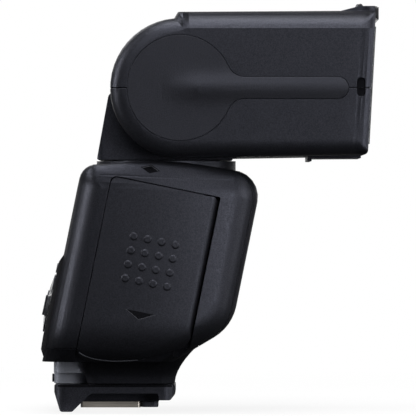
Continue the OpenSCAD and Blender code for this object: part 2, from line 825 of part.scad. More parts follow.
// Neck and swivel
neck_z = collar_top + gap;
flange_r = 19;
flange_t = 1.5;
neck_back = swivel_f - collar_r + 0.4;
neck_front = swivel_f + collar_r - 0.4;
neck_stop = 52;
washer_t = 0.6;
washer_r = 14;

module neck_block() {
    color("#26272b") difference() {
        intersection() {
            side(neck_w) {
                translate([tilt_f, tilt_z]) circle(neck_r);
                polygon(rounded([[neck_back, neck_z, 0.6], [neck_front, neck_z, 0.6],
                    [tilt_f + neck_r * cos(neck_stop), tilt_z - neck_r * sin(neck_stop), 1],
                    [tilt_f, tilt_z, 1], [tilt_f - ear_r - 0.7, tilt_z - 1.2, 2]]));
            }
            plan_plate(neck_w / 2, neck_back - 1, tilt_f + neck_r + 8, 3.5, neck_z - 1, tilt_z + neck_r + 1);
        }
        at_tilt() rotate([0, 90, 0]) cylinder(r = axle_r + fit, h = big, center = true);
    }
}

module swivel_turntable() {
    color("#55585f") at_swivel() difference() {
        union() {
            translate([0, 0, collar_z + gap]) cylinder(r = stem_r, h = neck_z - collar_z - gap);
            translate([0, 0, collar_z + gap]) cylinder(r = flange_r, h = flange_t);
        }
        translate([0, 0, collar_z]) cylinder(r = 6, h = 20);
    }
}

module friction_washers() {
    color("#8a8d94") at_tilt() for (s = [-1, 1])
        translate([s * (neck_w + washer_t) / 2, 0, 0]) rotate([0, 90, 0]) difference() {
            cylinder(r = washer_r, h = washer_t, center = true);
            cylinder(r = axle_r + gap, h = 5, center = true);
        }
}

// Head, drawn about the tilt axis: a runs forward and b up
slot_half = neck_w / 2 + washer_t + gap;
front_tan = tan(front_lean);
step_a = -1.95;
step_lean = 0.9;
crest_a = -0.7;
head_arc = 24;
head_steps = 5;
axle_half = head_w / 2 - 6.5;
room_half = head_w / 2 - 5;
room_b = [-17.5, 19.3];
room_a = neck_r + gap + 4.5;
ledge = 1.4;
lens_t = 2;
lens_proud = 0.3;
lip_w = head_w - 2 * head_crown - 1;
lip_h = 1.6;
lip_front = head_reach + head_top * front_tan;
rear_wall = [-50, 58];
slot_b = head_top - 3.65;
card_t = 0.7;
panel_gap = 0.25;
panel_b = slot_b + card_t + 2 * panel_gap;
panel_back = room_a + 0.6;
disc_r = ear_r - head_crown - 0.8;
cover_proud = 0.15;
cover_round = 6;
latch_a = head_reach - 3.7;
rail_a = [42.9, 44.3, 60.9];
rail_w = 40;

// Height of the head's underside at a in front of the axis
function under_b(a) = -ear_r + (ear_r - head_drop) * a / (head_reach - head_drop * front_tan);

// Ring of the head's side profile moved in by d, from the step over the round rear end to the front
function head_ring(d) = let (r = ear_r - d, a0 = acos((step_a + step_lean * d) / r))
    let (round_end = [for (i = [0 : head_arc]) r * turn(a0 + (270 - a0) * i / head_arc)])
    let (chin = [head_reach - head_drop * front_tan - d, d - head_drop], brow = [lip_front - d, head_top - d])
    let (crest = [crest_a + 0.6 * d, head_top - 0.4 - d])
    concat(round_end, fillet(round_end[head_arc], chin, brow, 1.6, 4), fillet(chin, brow, crest, 1, 4),
        fillet(brow, crest, round_end[0], 0.7, 4));

module head_form() {
    skin([for (c = crown(head_w, head_crown, head_steps))
        [for (p = head_ring(c[1])) [c[0], -p.x, p.y]]]);
}

// Raised lip over the panels at the top front
module head_lip() {
    side(lip_w) polygon([[lip_front - 12, head_top - 1], [lip_front - 0.3, head_top - 1],
        [lip_front - 0.3, head_top + lip_h], [lip_front - 5.3, head_top + lip_h],
        [lip_front - 11.6, head_top]]);
}

// Gap between the ears that the neck stands in, open as far as the tilt needs
module neck_slot() {
    side(2 * slot_half) difference() {
        circle(big);
        polygon([[0, 0], big * turn(rear_wall[0]), [big * 3, 0], big * turn(rear_wall[1])]);
    }
    rotate([0, 90, 0]) cylinder(r = neck_r + gap, h = 2 * slot_half, center = true);
}

// Round disc and long arm of the side cover
module keyhole(grow) {
    rf = cover_round - grow;
    c = [sqrt(pow(disc_r + cover_round, 2) - pow(arm_h + cover_round, 2)), arm_h + cover_round];
    circle(disc_r + grow);
    translate([0, -arm_h - grow]) square([arm_reach - arm_h, 2 * (arm_h + grow)]);
    translate([arm_reach - arm_h, 0]) circle(arm_h + grow);
    for (s = [0, 1]) mirror([0, s]) difference() {
        polygon([[0, 0], [c.x, 0], c]);
        translate(c) circle(rf);
    }
}

module at_front() {
    translate([0, -head_reach, 0]) rotate([front_lean, 0, 0]) children();
}

// Everything that is hollow in the head shells
module head_rooms() {
    neck_slot();
    block([-room_half, room_a, room_b[0]], [room_half, head_reach + 10, room_b[1]]);
    at_front() block([-room_half - ledge, -lens_t, room_b[0] - ledge],
        [room_half + ledge, 9, room_b[1] + ledge]);
    block([-panel_w / 2 - gap, panel_back - gap, slot_b],
        [panel_w / 2 + gap, head_reach + 10, panel_b + panel_t + panel_gap]);
    for (s = [-1, 1]) {
        side_between(s * head_w / 2 - side_cover_t + cover_proud, s * head_w / 2 + side_cover_t - cover_proud)
            keyhole(seam);
        side_between(s * head_w / 2 - 2.2, s * head_w / 2 + 2.2)
            rounded_rect(latch_a - 1.4, latch_a + 1.4, -2.85, 3.4, 1.2);
    }
    rotate([0, 90, 0]) cylinder(r = axle_r, h = 2 * axle_half, center = true);
    translate([axle_half, 0, 0]) rotate([0, 90, 0]) cylinder(r = bounce_r + 0.8 + gap, h = 10);
    for (s = [-1, 1]) translate([s * rod_x, -room_a + rod_seat, rod_b]) rotate([90, 0, 0])
        cylinder(r = zoom_rod_r, h = 40);
    translate([screw_x, -motor_a, screw_b]) rotate([90, 0, 0]) cylinder(r = motor_r, h = motor_len);
    translate([screw_x, -motor_a, screw_b]) rotate([90, 0, 0]) cylinder(r = screw_r + fit, h = 40);
}

module head_upper_shell() {
    color("#2e2f34") at_tilt() difference() {
        union() {
            intersection() {
                head_form();
                translate([-big / 2, -big / 2, seam]) cube(big);
            }
            head_lip();
        }
        head_rooms();
    }
}

module head_lower_shell() {
    color("#2b2c31") at_tilt() difference() {
        intersection() {
            head_form();
            translate([-big / 2, -big / 2, -seam - big]) cube(big);
        }
        head_rooms();
    }
}

module side_cover(s) {
    at_tilt() difference() {
        side_between(s * (head_w - side_cover_t) / 2 + s * cover_proud - side_cover_t / 2,
            s * (head_w - side_cover_t) / 2 + s * cover_proud + side_cover_t / 2) keyhole(0);
        if (s > 0) rotate([0, 90, 0]) cylinder(r = bounce_r + gap, h = big);
    }
}

module side_cover_left() { color("#33343a") side_cover(-1); }
module side_cover_right() { color("#33343a") side_cover(1); }

module tilt_axle() {
    color("silver") at_tilt() rotate([0, 90, 0]) cylinder(r = axle_r, h = 2 * axle_half, center = true);
}

bounce_r = 5;
bounce_travel = 1.5;

module bounce_release() {
    color("#1c1d20") at_tilt() translate([axle_half + bounce_travel + gap, 0, 0]) rotate([0, 90, 0]) {
        cylinder(r = bounce_r, h = head_w / 2 - axle_half - bounce_travel - gap + 0.6);
        cylinder(r = bounce_r + 0.8, h = head_w / 2 - axle_half - bounce_travel - gap - side_cover_t);
    }
}

module adapter_rail() {
    color("#1a1b1e") at_tilt() side(rail_w) polygon([
        [rail_a[0], under_b(rail_a[0])], [rail_a[0], -head_drop - 2], [rail_a[1], -head_drop - 2],
        [rail_a[1], -head_drop - 1.1], [rail_a[2], -head_drop - 1], [rail_a[2], under_b(rail_a[2])]]);
}

lens_ribs = 18;

// Front lens with saw-tooth ribs on its inner face
module front_lens() {
    low = room_b[0] - ledge + seam;
    high = room_b[1] + ledge - seam;
    step = (high - low - 4) / lens_ribs;
    color("#d7dde2") at_tilt() at_front() {
        side(2 * (room_half + ledge - seam)) translate([-lens_t, low])
            square([lens_t + lens_proud, high - low]);
        side(2 * room_half - 2) polygon(concat(
            [[0.3 - lens_t, low + 2], [0.3 - lens_t, high - 2], [-lens_t, high - 2]],
            [for (i = [lens_ribs - 1 : -1 : 0]) each
                [[-lens_t - 0.6, low + 2 + (i + 1) * step - 0.05], [-lens_t, low + 2 + i * step]]]));
    }
}

// Zoom drive in the head
zoom_a = room_a + 1.6;
reflector_p = 3;
reflector_half = 12.5;
reflector_t = 0.7;
reflector_w = 2 * room_half - 15;
tube_r = 2.2;
cheek_t = 1.8;
carriage_len = 13;
zoom_rod_r = 1.2;
rod_x = reflector_w / 2 + cheek_t + 3;
rod_b = 8;
rod_seat = 2.2;
screw_x = rod_x;
screw_b = -10.5;
screw_r = 1.3;
motor_r = 4.5;
motor_len = 12;
motor_a = room_a - 2.5 - motor_len;
zoom_end = zoom_a + carriage_len + zoom_travel + 2.70;

module at_zoom() {
    at_tilt() translate([0, -zoom_a, 0]) children();
}

// Parabolic trough that throws the tube's light forward
module reflector() {
    curve = [for (b = [-reflector_half : reflector_half / 8 : reflector_half]) [b * b / (4 * reflector_p), b]];
    color("white") at_zoom() translate([0, -reflector_t - 0.1, 0]) side(reflector_w)
        polygon(concat(curve, [for (i = [len(curve) - 1 : -1 : 0]) curve[i] + reflector_t *
            unit([-1, curve[i].y / (2 * reflector_p)])]));
}

module flash_tube() {
    color("#cfe3ea") at_zoom() translate([0, -reflector_t - 0.1 - reflector_p, 0]) rotate([0, 90, 0])
        cylinder(r = tube_r, h = reflector_w + 2 * cheek_t + 3, center = true);
}

module tube_sleeves() {
    color("#c9c4ba") at_zoom() for (s = [-1, 1])
        translate([s * (reflector_w / 2 + cheek_t / 2), -reflector_t - 0.1 - reflector_p, 0]) rotate([0, 90, 0])
            difference() {
                cylinder(r = tube_r + 1, h = cheek_t, center = true);
                cylinder(r = tube_r, h = 10, center = true);
            }
}

// Cheeks that hold the reflector and ride on the guide rods and the lead screw
module zoom_carriage() {
    color("#3a3c42") at_zoom() difference() {
        union() {
            for (s = [-1, 1]) translate([s * (reflector_w + cheek_t) / 2, 0, 0]) side(cheek_t)
                rounded_rect(-1.4, carriage_len, -reflector_half - 0.5, reflector_half + 0.5, 1);
            block([-reflector_w / 2 - 1, -1.4, -7], [reflector_w / 2 + 1, 0, 7]);
            for (s = [-1, 1])
                block([s * (rod_x - 1.2) - 2.8, 0, rod_b - 2.6], [s * (rod_x - 1.2) + 2.8, 8, rod_b + 2.6]);
            block([screw_x - 4, 0, screw_b - 2.6], [screw_x + 2.4, 6, screw_b + 2.6]);
        }
        for (s = [-1, 1]) translate([s * rod_x, 10, rod_b]) rotate([90, 0, 0])
            cylinder(r = zoom_rod_r + fit, h = 40);
        translate([screw_x, 10, screw_b]) rotate([90, 0, 0]) cylinder(r = screw_r + fit, h = 40);
        translate([0, -reflector_t - 0.1 - reflector_p, 0]) rotate([0, 90, 0])
            cylinder(r = tube_r + 1, h = 2 * reflector_w, center = true);
    }
}

module zoom_rods() {
    color("silver") at_tilt() for (s = [-1, 1]) translate([s * rod_x, -room_a + rod_seat, rod_b])
        rotate([90, 0, 0]) cylinder(r = zoom_rod_r, h = zoom_end - room_a + rod_seat);
}

module lead_screw() {
    color("silver") at_tilt() translate([screw_x, -motor_a - motor_len, screw_b]) rotate([90, 0, 0])
        cylinder(r = screw_r, h = zoom_end - motor_a - motor_len);
}

module zoom_motor() {
    color("#777b82") at_tilt() translate([screw_x, -motor_a - 0.1, screw_b]) rotate([90, 0, 0])
        cylinder(r = motor_r, h = motor_len - 0.2);
}

// Pull-out panels at the top front of the head
card_w = panel_w - 4;
panel_front = lip_front - 0.6;
tab_w = 12;
tab_reach = 4.6;

module wide_panel() {
    color("#c9d2d8") at_tilt() {
        block([-panel_w / 2, panel_back, panel_b], [panel_w / 2, panel_front + 0.9, panel_b + panel_t]);
        side(panel_w - 12) polygon([[panel_front + 0.9, panel_b], [panel_front + 1.8, panel_b],
            [panel_front + 1.8, head_top + lip_h], [panel_front + 0.9, head_top + lip_h]]);
        translate([0, 0, head_top + lip_h]) side(tab_w) polygon([[panel_front + 1.8, -0.5],
            [panel_front + 1.8, 0.9], [panel_front - tab_reach, 0.9], [panel_front - tab_reach, gap],
            [panel_front + 0.9, gap], [panel_front + 0.9, -0.5]]);
        translate([0, tab_reach - panel_front, head_top + lip_h + 1]) rotate([0, 90, 0])
            cylinder(r = 0.7, h = tab_w, center = true);
    }
}

module bounce_card() {
    color("white") at_tilt() block([-card_w / 2, panel_back + 0.5, slot_b + panel_gap],
        [card_w / 2, panel_front, slot_b + panel_gap + card_t]);
}

shoe_plate();
shoe_contacts();
foot_block();
foot_seal();
lock_housing();
lock_lever();
lock_release();
lock_pin();
base_cover();
body_shell();
front_cover();
af_window();
af_lamp();
control_panel();
display_window();
display_module();
control_board();
driver_board();
main_capacitor();
battery_door();
door_hinge_rod();
battery_cells();
battery_plates();
battery_springs();
terminal_cover();
sync_sockets();
swivel_collar();
select_dial();
set_button();
soft_key_1();
soft_key_2();
soft_key_3();
soft_key_4();
menu_key();
mode_key();
test_button();
power_switch();
swivel_turntable();
neck_block();
friction_washers();
tilt_axle();
head_upper_shell();
head_lower_shell();
side_cover_left();
side_cover_right();
bounce_release();
adapter_rail();
front_lens();
reflector();
flash_tube();
tube_sleeves();
zoom_carriage();
zoom_rods();
lead_screw();
zoom_motor();
wide_panel();
bounce_card();
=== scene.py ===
import math

import bmesh
import bpy
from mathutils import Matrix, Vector
from mathutils.bvhtree import BVHTree


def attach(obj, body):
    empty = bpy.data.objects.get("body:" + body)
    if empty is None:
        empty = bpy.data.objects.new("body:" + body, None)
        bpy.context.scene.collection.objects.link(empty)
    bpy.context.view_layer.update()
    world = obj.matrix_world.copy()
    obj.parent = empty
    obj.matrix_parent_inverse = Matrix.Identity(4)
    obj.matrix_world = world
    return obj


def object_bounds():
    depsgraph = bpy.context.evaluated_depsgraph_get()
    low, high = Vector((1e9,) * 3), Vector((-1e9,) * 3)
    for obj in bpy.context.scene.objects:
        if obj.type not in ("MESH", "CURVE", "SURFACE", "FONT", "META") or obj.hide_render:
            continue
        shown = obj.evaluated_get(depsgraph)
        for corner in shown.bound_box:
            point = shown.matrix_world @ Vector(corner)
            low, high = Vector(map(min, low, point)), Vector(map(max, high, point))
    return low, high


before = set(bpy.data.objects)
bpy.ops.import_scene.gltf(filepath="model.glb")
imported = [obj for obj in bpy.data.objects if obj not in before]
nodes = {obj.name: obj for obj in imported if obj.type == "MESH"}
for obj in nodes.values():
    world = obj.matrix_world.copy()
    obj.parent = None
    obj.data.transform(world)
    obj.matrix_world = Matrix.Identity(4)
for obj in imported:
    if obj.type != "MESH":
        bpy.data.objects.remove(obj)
cad_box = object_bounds()
scene = bpy.context.scene

MM = 0.001

# The photograph: its pixels across and their size, looking along +X with -Y to the right
PHOTO_PX = 416
PX = 0.335 * MM
ORIGIN_PX = (118, 410)
CAMERA_AWAY = 1.6
NEAR_SIDE = -30 * MM

# The leaned frame of the body: u runs forward, v up along the lean
LEAN = math.radians(11.5)
LEAN_F = 3 * MM
LEAN_Z = 16 * MM
BODY_SIDE = -34.5 * MM
HEAD_SIDE = 37.5 * MM

# Forms that the light shows on the body's side: where they start, and their slopes a metre
BODY_MIDDLE_Y, BODY_BEND = -8 * MM, 8
ROLL_Z, ROLL_BEND = 31.8 * MM, 6100
FLARE_Z, FLARE_BEND = 10.5 * MM, -140
TOP_Z, TOP_BEND = 74.5 * MM, -120

# The tilt axis, and the forms of the head's side and its cover
TILT_Y, TILT_Z = -20.8 * MM, 107.8 * MM
ARM_HEIGHT, ARM_HALF = 0.9 * MM, 4 * MM
ARM_START, ARM_FULL = -6 * MM, 6 * MM
CREASE_Z, CREASE_TOP_Z = 127.7 * MM, 133.4 * MM
CREASE_START, CREASE_FULL = 1 * MM, 3 * MM
CREASE_SLOPE = 0.42
FRONT_A, FRONT_BEND = 59.2 * MM, -250
FRONT_LEAN = math.tan(math.radians(3.2))

# The sloped pod of the rear panel, about the dial
POD_RISE, POD_RUN = 0.3 * MM, 25.5 * MM
POD_ANGLE = math.atan(POD_RISE / POD_RUN)
DIAL_UP, DIAL_V = 15 * MM, 13.5 * MM
DIAL_U = -29.1 * MM - POD_RISE * DIAL_UP / POD_RUN


def leaned(x, u, v):
    """Point of the leaned body frame in the part's frame."""
    f = LEAN_F + u * math.cos(LEAN) + v * math.sin(LEAN)
    return Vector((x, -f, LEAN_Z - u * math.sin(LEAN) + v * math.cos(LEAN)))


def on_pod(x, s, h):
    """Point x across, s up the slope and h out of the rear panel's pod."""
    u = DIAL_U + s * math.sin(POD_ANGLE) - h * math.cos(POD_ANGLE)
    return leaned(x, u, DIAL_V + s * math.cos(POD_ANGLE) + h * math.sin(POD_ANGLE))


# Materials

RANGE_SOCKETS = ("From Min", "From Max", "To Min", "To Max")


def set_range(node, *numbers):
    """Sets a Map Range node: from start and end, to low and high."""
    for key, number in zip(RANGE_SOCKETS, numbers):
        node.inputs[key].default_value = number


class Shader:
    """A Principled material and short calls for its nodes."""

    def __init__(self, name, **values):
        self.material = bpy.data.materials.new(name)
        self.material.use_nodes = True
        self.tree = self.material.node_tree
        self.bsdf = self.tree.nodes["Principled BSDF"]
        for key, value in values.items():
            self.bsdf.inputs[key.replace("_", " ")].default_value = value
        self.place = self.add("ShaderNodeTexCoord").outputs["Object"]

    def add(self, kind, **settings):
        node = self.tree.nodes.new(kind)
        for key, value in settings.items():
            setattr(node, key, value)
        return node

    def link(self, output, target):
        self.tree.links.new(output, target)

    def noise(self, scale, detail=2.0, stretch=(1, 1, 1)):
        mapping = self.add("ShaderNodeMapping")
        mapping.inputs["Scale"].default_value = stretch
        self.link(self.place, mapping.inputs["Vector"])
        node = self.add("ShaderNodeTexNoise")
        node.inputs["Scale"].default_value = scale
        node.inputs["Detail"].default_value = detail
        self.link(mapping.outputs["Vector"], node.inputs["Vector"])
        return node.outputs["Fac"]

    def ramp(self, value, low, high, start=0.3, end=0.7):
        node = self.add("ShaderNodeMapRange")
        set_range(node, start, end, low, high)
        self.link(value, node.inputs["Value"])
        return node.outputs["Result"]

    def tint(self, value, dark, light):
        node = self.add("ShaderNodeMix", data_type="RGBA")
        node.inputs["A"].default_value = (*dark, 1)
        node.inputs["B"].default_value = (*light, 1)
        self.link(value, node.inputs["Factor"])
        return node.outputs["Result"]

    def bump(self, height, strength, distance, under=None):
        node = self.add("ShaderNodeBump")
        node.inputs["Strength"].default_value = strength
        node.inputs["Distance"].default_value = distance
        self.link(height, node.inputs["Height"])
        if under:
            self.link(under, node.inputs["Normal"])
        return node.outputs["Normal"]

    def soft_edges(self, radius):
        node = self.add("ShaderNodeBevel", samples=6)
        node.inputs["Radius"].default_value = radius
        return node.outputs["Normal"]

    def edge_mask(self, normal):
        """1 on the rounded edges and 0 on the faces between them."""
        dot = self.add("ShaderNodeVectorMath", operation="DOT_PRODUCT")
        self.link(normal, dot.inputs[0])
        self.link(self.add("ShaderNodeNewGeometry").outputs["Normal"], dot.inputs[1])
        return self.ramp(dot.outputs["Value"], 1, 0, 0.9, 0.998)

    def math(self, operation, first, second=None, value=None):
        node = self.add("ShaderNodeMath", operation=operation)
        self.link(first, node.inputs[0])
        if second:
            self.link(second, node.inputs[1])
        elif value is not None:
            node.inputs[1].default_value = value
        return node.outputs["Value"]

    def away(self, axis, middle):
        """Distance in metres along an axis from a middle."""
        split = self.add("ShaderNodeSeparateXYZ")
        self.link(self.place, split.inputs["Vector"])
        return self.math("SUBTRACT", split.outputs[axis], value=middle)

    def bent(self, distance, bend):
        """Height of a face that bends away from flat by the given slope a metre."""
        return self.math("MULTIPLY", self.math("MULTIPLY", distance, distance), value=-bend / 2)

    def body_form(self):
        """Height of the body's side: a little convex, rolled under at its foot, steep on top."""
        across = self.bent(self.away("Y", BODY_MIDDLE_Y), BODY_BEND)
        below = self.math("MINIMUM", self.away("Z", ROLL_Z), value=0)
        roll = self.math("MULTIPLY", self.bent(below, -ROLL_BEND * 2 / 3), below)
        above = self.math("MAXIMUM", self.away("Z", TOP_Z), value=0)
        ends = self.math("ADD", roll, self.bent(above, TOP_BEND))
        return self.math("ADD", across, ends)

    def base_form(self):
        """Height of the base cover: upright at its foot, and flaring out towards the body."""
        return self.bent(self.math("MAXIMUM", self.away("Z", FLARE_Z), value=0), FLARE_BEND)

    def arm_form(self):
        """Height of the side cover: its arm is a low ridge that rises out of the disc."""
        fall = self.bent(self.away("Z", TILT_Z), 2 / ARM_HALF**2)
        ridge = self.math("MULTIPLY", self.math("EXPONENT", fall), value=ARM_HEIGHT)
        start = self.ramp(self.away("Y", TILT_Y), 0, 1, -ARM_START, -ARM_FULL)
        return self.math("MULTIPLY", ridge, start)

    def head_form(self):
        """Height of the head's side: a crease under its round top, and a nearly flat front edge."""
        across = self.away("Y", TILT_Y)
        up = self.away("Z", TILT_Z)
        low, high = CREASE_Z - TILT_Z, CREASE_TOP_Z - TILT_Z
        crease = self.ramp(up, 0, -CREASE_SLOPE * (high - low), low, high)
        crease = self.math("MULTIPLY", crease, self.ramp(across, 0, 1, -CREASE_START, -CREASE_FULL))
        behind = self.math("ADD", across, self.math("MULTIPLY", up, value=FRONT_LEAN))
        front = self.math("MINIMUM", self.math("ADD", behind, value=FRONT_A), value=0)
        return self.math("ADD", crease, self.bent(front, FRONT_BEND))

    def colour(self, output):
        self.link(output, self.bsdf.inputs["Base Color"])

    def rough(self, output):
        self.link(output, self.bsdf.inputs["Roughness"])

    def normal(self, output):
        self.link(output, self.bsdf.inputs["Normal"])


def shade(colour, factor):
    return tuple(c * factor for c in colour)


# Sizes of the plastic's cloudiness, of its glints and of its grain, and the grain's depth
MOTTLE, SPARK = 0.7 * MM, 0.33 * MM
GRAIN, DEPTH = 0.17 * MM, 0.03 * MM


def moulded(name, colour, rough, grain, depth, edge=0.25 * MM, form=None, shine=(0.36, 0.66)):
    """Grained plastic with a painted highlight on its rounded edges, whose sides may follow a form.
    """
    s = Shader(name, Specular_Tint=(0.77, 0.8, 1.0, 1))
    s.link(s.ramp(s.noise(1 / SPARK, 1), *shine), s.bsdf.inputs["Specular IOR Level"])
    fine = s.noise(1 / grain, 2)
    coarse = s.noise(1 / MOTTLE, 2)
    soft = s.soft_edges(edge)
    body = s.tint(s.ramp(s.noise(45, 3), 0, 1), shade(colour, 0.88), shade(colour, 1.12))
    # Painted highlight: the rounded edges found by the edge mask get a lighter colour
    lit_edges = s.add("ShaderNodeMix", data_type="RGBA")
    s.link(s.edge_mask(soft), lit_edges.inputs["Factor"])
    s.link(body, lit_edges.inputs["A"])
    lit_edges.inputs["B"].default_value = (*shade(colour, 1.7), 1)
    s.colour(lit_edges.outputs["Result"])
    s.rough(s.ramp(coarse, rough - 0.07, rough + 0.07))
    if form:
        soft = s.bump(form(s), 1.0, 1.0, soft)
    s.normal(s.bump(fine, 1.0, depth, soft))
    return s.material


def brushed(name, colour, rough, along):
    """Brushed metal with fine lines that run along the stretched axis."""
    s = Shader(name, Metallic=1.0)
    lines = s.noise(900, 4, along)
    cloud = s.noise(120, 3)
    s.colour(s.tint(s.ramp(cloud, 0, 1), shade(colour, 0.85), shade(colour, 1.08)))
    s.rough(s.ramp(lines, rough - 0.08, rough + 0.12))
    s.normal(s.bump(lines, 0.35, 0.02 * MM, s.soft_edges(0.15 * MM)))
    return s.material


def clear(name, colour, rough, period, depth):
    """Clear moulded plastic with a fine prism pattern."""
    s = Shader(name, Transmission_Weight=1.0, IOR=1.49, Base_Color=(*colour, 1))
    wave = s.add("ShaderNodeTexWave", bands_direction="Z", wave_profile="SAW")
    wave.inputs["Scale"].default_value = 1 / period / 20 * 2 * math.pi
    s.link(s.place, wave.inputs["Vector"])
    s.rough(s.ramp(s.noise(300, 3), rough, rough + 0.1))
    s.normal(s.bump(wave.outputs["Fac"], 0.8, depth))
    return s.material


def glossy(name, colour, rough, coat=0.3):
    """Smooth plastic or lacquer with faint dust and handling marks."""
    s = Shader(name, Coat_Weight=coat, Coat_Roughness=0.08)
    haze = s.noise(260, 4)
    s.colour(s.tint(s.ramp(s.noise(70, 3), 0, 1), shade(colour, 0.9), shade(colour, 1.12)))
    s.rough(s.ramp(haze, rough, rough + 0.1))
    s.normal(s.bump(haze, 0.12, 0.02 * MM, s.soft_edges(0.2 * MM)))
    return s.material


def board(name, colour):
    """Coated circuit board with a faint pattern of tracks."""
    s = Shader(name, Roughness=0.35)
    brick = s.add("ShaderNodeTexBrick")
    brick.inputs["Scale"].default_value = 260
    brick.inputs["Color1"].default_value = (*shade(colour, 0.8), 1)
    brick.inputs["Color2"].default_value = (*shade(colour, 1.1), 1)
    brick.inputs["Mortar"].default_value = (*shade(colour, 2.2), 1)
    s.link(s.place, brick.inputs["Vector"])
    s.colour(brick.outputs["Color"])
    s.normal(s.bump(brick.outputs["Fac"], 0.3, 0.03 * MM))
    return s.material


def screen(name):
    """Dark display with the grid of its cells just showing through the glass."""
    s = Shader(name, Coat_Weight=1.0, Coat_Roughness=0.03)
    checker = s.add("ShaderNodeTexChecker")
    checker.inputs["Scale"].default_value = 2600
    checker.inputs["Color1"].default_value = (0.018, 0.021, 0.02, 1)
    checker.inputs["Color2"].default_value = (0.024, 0.028, 0.027, 1)
    s.link(s.place, checker.inputs["Vector"])
    s.colour(checker.outputs["Color"])
    s.rough(s.ramp(s.noise(200, 3), 0.12, 0.22))
    return s.material


BLACK = (0.0062, 0.0064, 0.0078)
finish = {
    "shell": moulded("shell_plastic", BLACK, 0.43, GRAIN, DEPTH),
    "head": moulded("head_plastic", BLACK, 0.43, GRAIN, DEPTH, form=Shader.head_form),
    "body": moulded("body_plastic", BLACK, 0.43, GRAIN, DEPTH, form=Shader.body_form),
    "base": moulded("base_plastic", BLACK, 0.43, GRAIN, DEPTH, form=Shader.base_form),
    "door": moulded("door_plastic", (0.0072, 0.0074, 0.0088), 0.46, GRAIN, DEPTH,
                    0.1 * MM, Shader.body_form),
    "cover": moulded("cover_plastic", (0.010, 0.0102, 0.012), 0.42, GRAIN, 0.022 * MM,
                     0.2 * MM, Shader.arm_form),
    "foot": moulded("foot_plastic", (0.006, 0.0062, 0.0075), 0.45, GRAIN, DEPTH),
    # The lock parts' pale blue-grey colour is a painted sheen
    "lock": moulded("lock_plastic_painted_sheen", (0.3, 0.315, 0.36), 0.32, 0.25 * MM, 0.012 * MM),
    "inner": moulded("inner_plastic", (0.06, 0.06, 0.065), 0.55, 0.4 * MM, 0.04 * MM),
    # The keys' own colour, also used as a painted highlight on the door pointer, the door's lower
    # edge and the swivel mark's rim
    "key": moulded("key_rubber_and_painted_highlight", (0.034, 0.035, 0.039), 0.55, 0.2 * MM, 0.02 * MM),
    "dial": glossy("dial_plastic", (0.03, 0.031, 0.036), 0.16, 0.6),
    "rubber": moulded("soft_rubber", (0.013, 0.013, 0.015), 0.72, 0.5 * MM, 0.05 * MM),
    "white": moulded("card_plastic", (0.8, 0.8, 0.78), 0.45, 0.4 * MM, 0.02 * MM),
    "panel": glossy("panel_plastic", (0.012, 0.0122, 0.014), 0.28),
    "front": moulded("front_plastic", (0.008, 0.0082, 0.0098), 0.38, 0.24 * MM, 0.015 * MM),
    "test": glossy("test_lens", (0.42, 0.05, 0.025), 0.2, 0.8),
    "lamp": glossy("lamp_window", (0.05, 0.004, 0.006), 0.08, 1.0),
    "screen": screen("display_glass"),
    "plate": brushed("shoe_metal", (0.42, 0.39, 0.35), 0.36, (1, 0.04, 1)),
    "steel": brushed("steel", (0.58, 0.58, 0.6), 0.28, (0.05, 1, 1)),
    "gold": brushed("contact_metal", (0.86, 0.66, 0.34), 0.22, (1, 1, 0.1)),
    "mirror": brushed("reflector_metal", (0.86, 0.86, 0.88), 0.12, (0.03, 1, 1)),
    "can": glossy("cell_wrap", (0.09, 0.16, 0.24), 0.3),
    "sleeve": glossy("capacitor_sleeve", (0.03, 0.035, 0.05), 0.3),
    "board": board("circuit_board", (0.02, 0.09, 0.045)),
    "lens": clear("lens_plastic", (0.62, 0.64, 0.67), 0.12, 1.1 * MM, 0.25 * MM),
    "wide": clear("panel_clear", (0.5, 0.52, 0.55), 0.2, 0.8 * MM, 0.15 * MM),
    "glass": clear("tube_glass", (0.9, 0.95, 0.97), 0.03, 4 * MM, 0.01 * MM),
    # Near-black dull finish that paints the shade of recesses, slots and gaps
    "recess_shade": moulded("painted_recess_shade", (0.003, 0.003, 0.0036), 0.6, 0.2 * MM, 0.01 * MM,
                    0.02 * MM, shine=(0.06, 0.14)),
    "print": moulded("panel_print", (0.55, 0.56, 0.58), 0.5, 0.3 * MM, 0.004 * MM, 0.02 * MM),
}

worn_by = {
    "body": "body_shell",
    "base": "base_cover",
    "head": "head_upper_shell head_lower_shell",
    "shell": "neck_block swivel_collar adapter_rail",
    "door": "battery_door",
    "cover": "side_cover_left side_cover_right",
    "foot": "foot_block",
    "lock": "lock_lever lock_housing",
    "inner": "zoom_carriage display_module",
    "key": "set_button soft_key_1 soft_key_2 soft_key_3 soft_key_4 menu_key mode_key"
    " lock_release bounce_release",
    "dial": "select_dial power_switch",
    "rubber": "terminal_cover tube_sleeves",
    # The foot seal gets the same near-black painted shade
    "recess_shade": "foot_seal",
    "white": "bounce_card",
    "panel": "control_panel",
    "front": "front_cover",
    "test": "test_button",
    "lamp": "af_window",
    "screen": "display_window",
    "plate": "shoe_plate",
    "steel": "tilt_axle zoom_rods lead_screw door_hinge_rod lock_pin battery_plates"
    " battery_springs friction_washers swivel_turntable sync_sockets",
    "gold": "shoe_contacts",
    "mirror": "reflector",
    "can": "battery_cells",
    "sleeve": "main_capacitor zoom_motor",
    "board": "control_board driver_board",
    "lens": "front_lens af_lamp",
    "wide": "wide_panel",
    "glass": "flash_tube",
}


# Smooth shading of the solids


